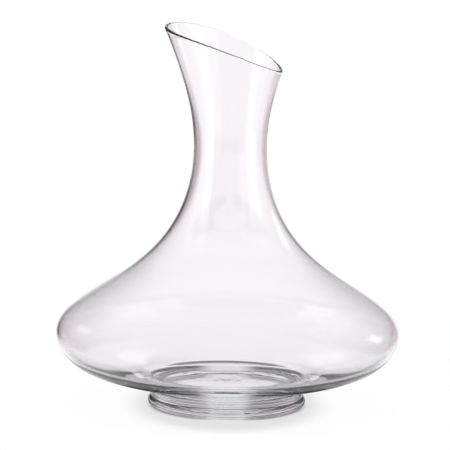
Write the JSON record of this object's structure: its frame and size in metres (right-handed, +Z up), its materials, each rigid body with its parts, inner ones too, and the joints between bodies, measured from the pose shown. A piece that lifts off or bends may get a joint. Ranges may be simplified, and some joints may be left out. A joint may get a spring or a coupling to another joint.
{
  "type": "wine decanter",
  "caption": "Free-standing clear glass decanter: wide low bowl, waisted neck, flared mouth cut on a slant, thick pressed foot.",
  "frame": {"origin": "middle of the foot's underside, in the plane that it rests on, on the axis the bowl and neck are turned about", "axes": "+Z up along that axis; -X towards the high lip of the slanted mouth, +X towards the low lip; +Y completes the right-handed frame"},
  "size_m": [0.198, 0.198, 0.2215],
  "materials": {
    "blown_glass": "fire-polished, clear",
    "pressed_glass": "pressed and fire-polished, clear"
  },
  "bodies": {
    "root": {"vessel": "blown_glass", "foot": "pressed_glass"}
  },
  "joints": []
}
